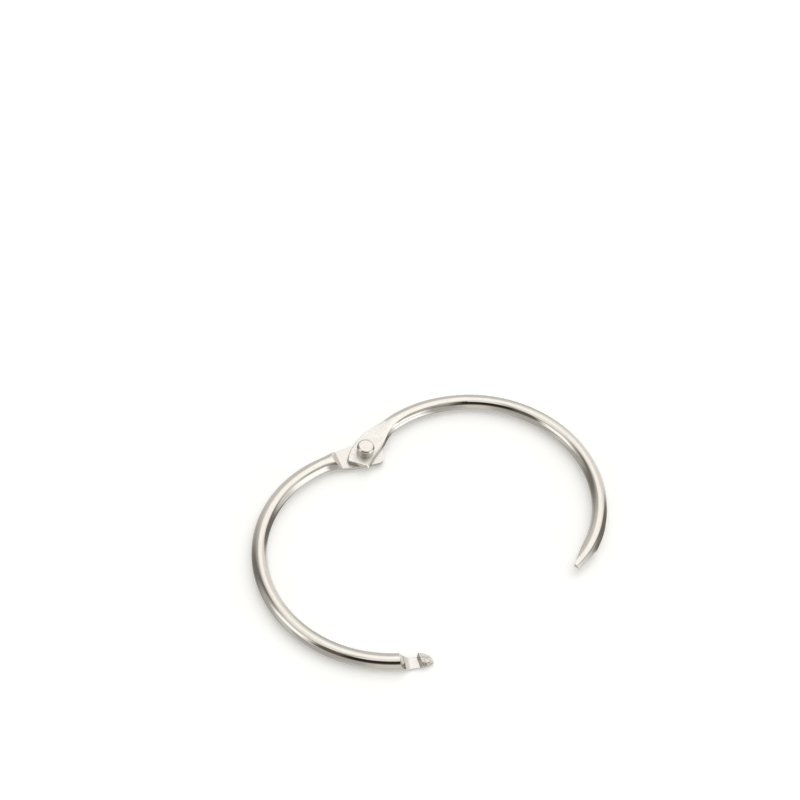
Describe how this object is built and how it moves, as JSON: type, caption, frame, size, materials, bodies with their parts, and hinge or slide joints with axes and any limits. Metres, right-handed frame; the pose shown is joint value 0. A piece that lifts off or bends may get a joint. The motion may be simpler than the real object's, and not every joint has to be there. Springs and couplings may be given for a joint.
{
  "type": "binder ring",
  "caption": "Hinged loose-leaf binder ring of bright nickel-plated wire: flat riveted hinge plates, a scooped neck and nose on one free end and a hollowed beak on the other.",
  "frame": {"origin": "centre of the hook arm's arc, on the middle plane of the wire", "axes": "+Z square to the ring and up when it lies flat; the rivet stands on -X and the nose of the hook arm is on +X; the hook arm runs round the -Y side"},
  "size_m": [0.0697, 0.0801, 0.0049],
  "materials": {
    "wire_nickel": "bright nickel plate on drawn steel wire",
    "rivet_nickel": "bright nickel plate on a headed steel rivet"
  },
  "bodies": {
    "hook_side": {"hook_arm": "wire_nickel", "hinge_rivet": "rivet_nickel"},
    "socket_side": {"socket_arm": "wire_nickel"}
  },
  "joints": [
    {"name": "ring_hinge", "type": "hinge", "parent": "hook_side", "child": "socket_side", "pos_m": [-0.02725, 0, 0], "axis": [0, 0, 1], "range_deg": [-49, 95]}
  ]
}
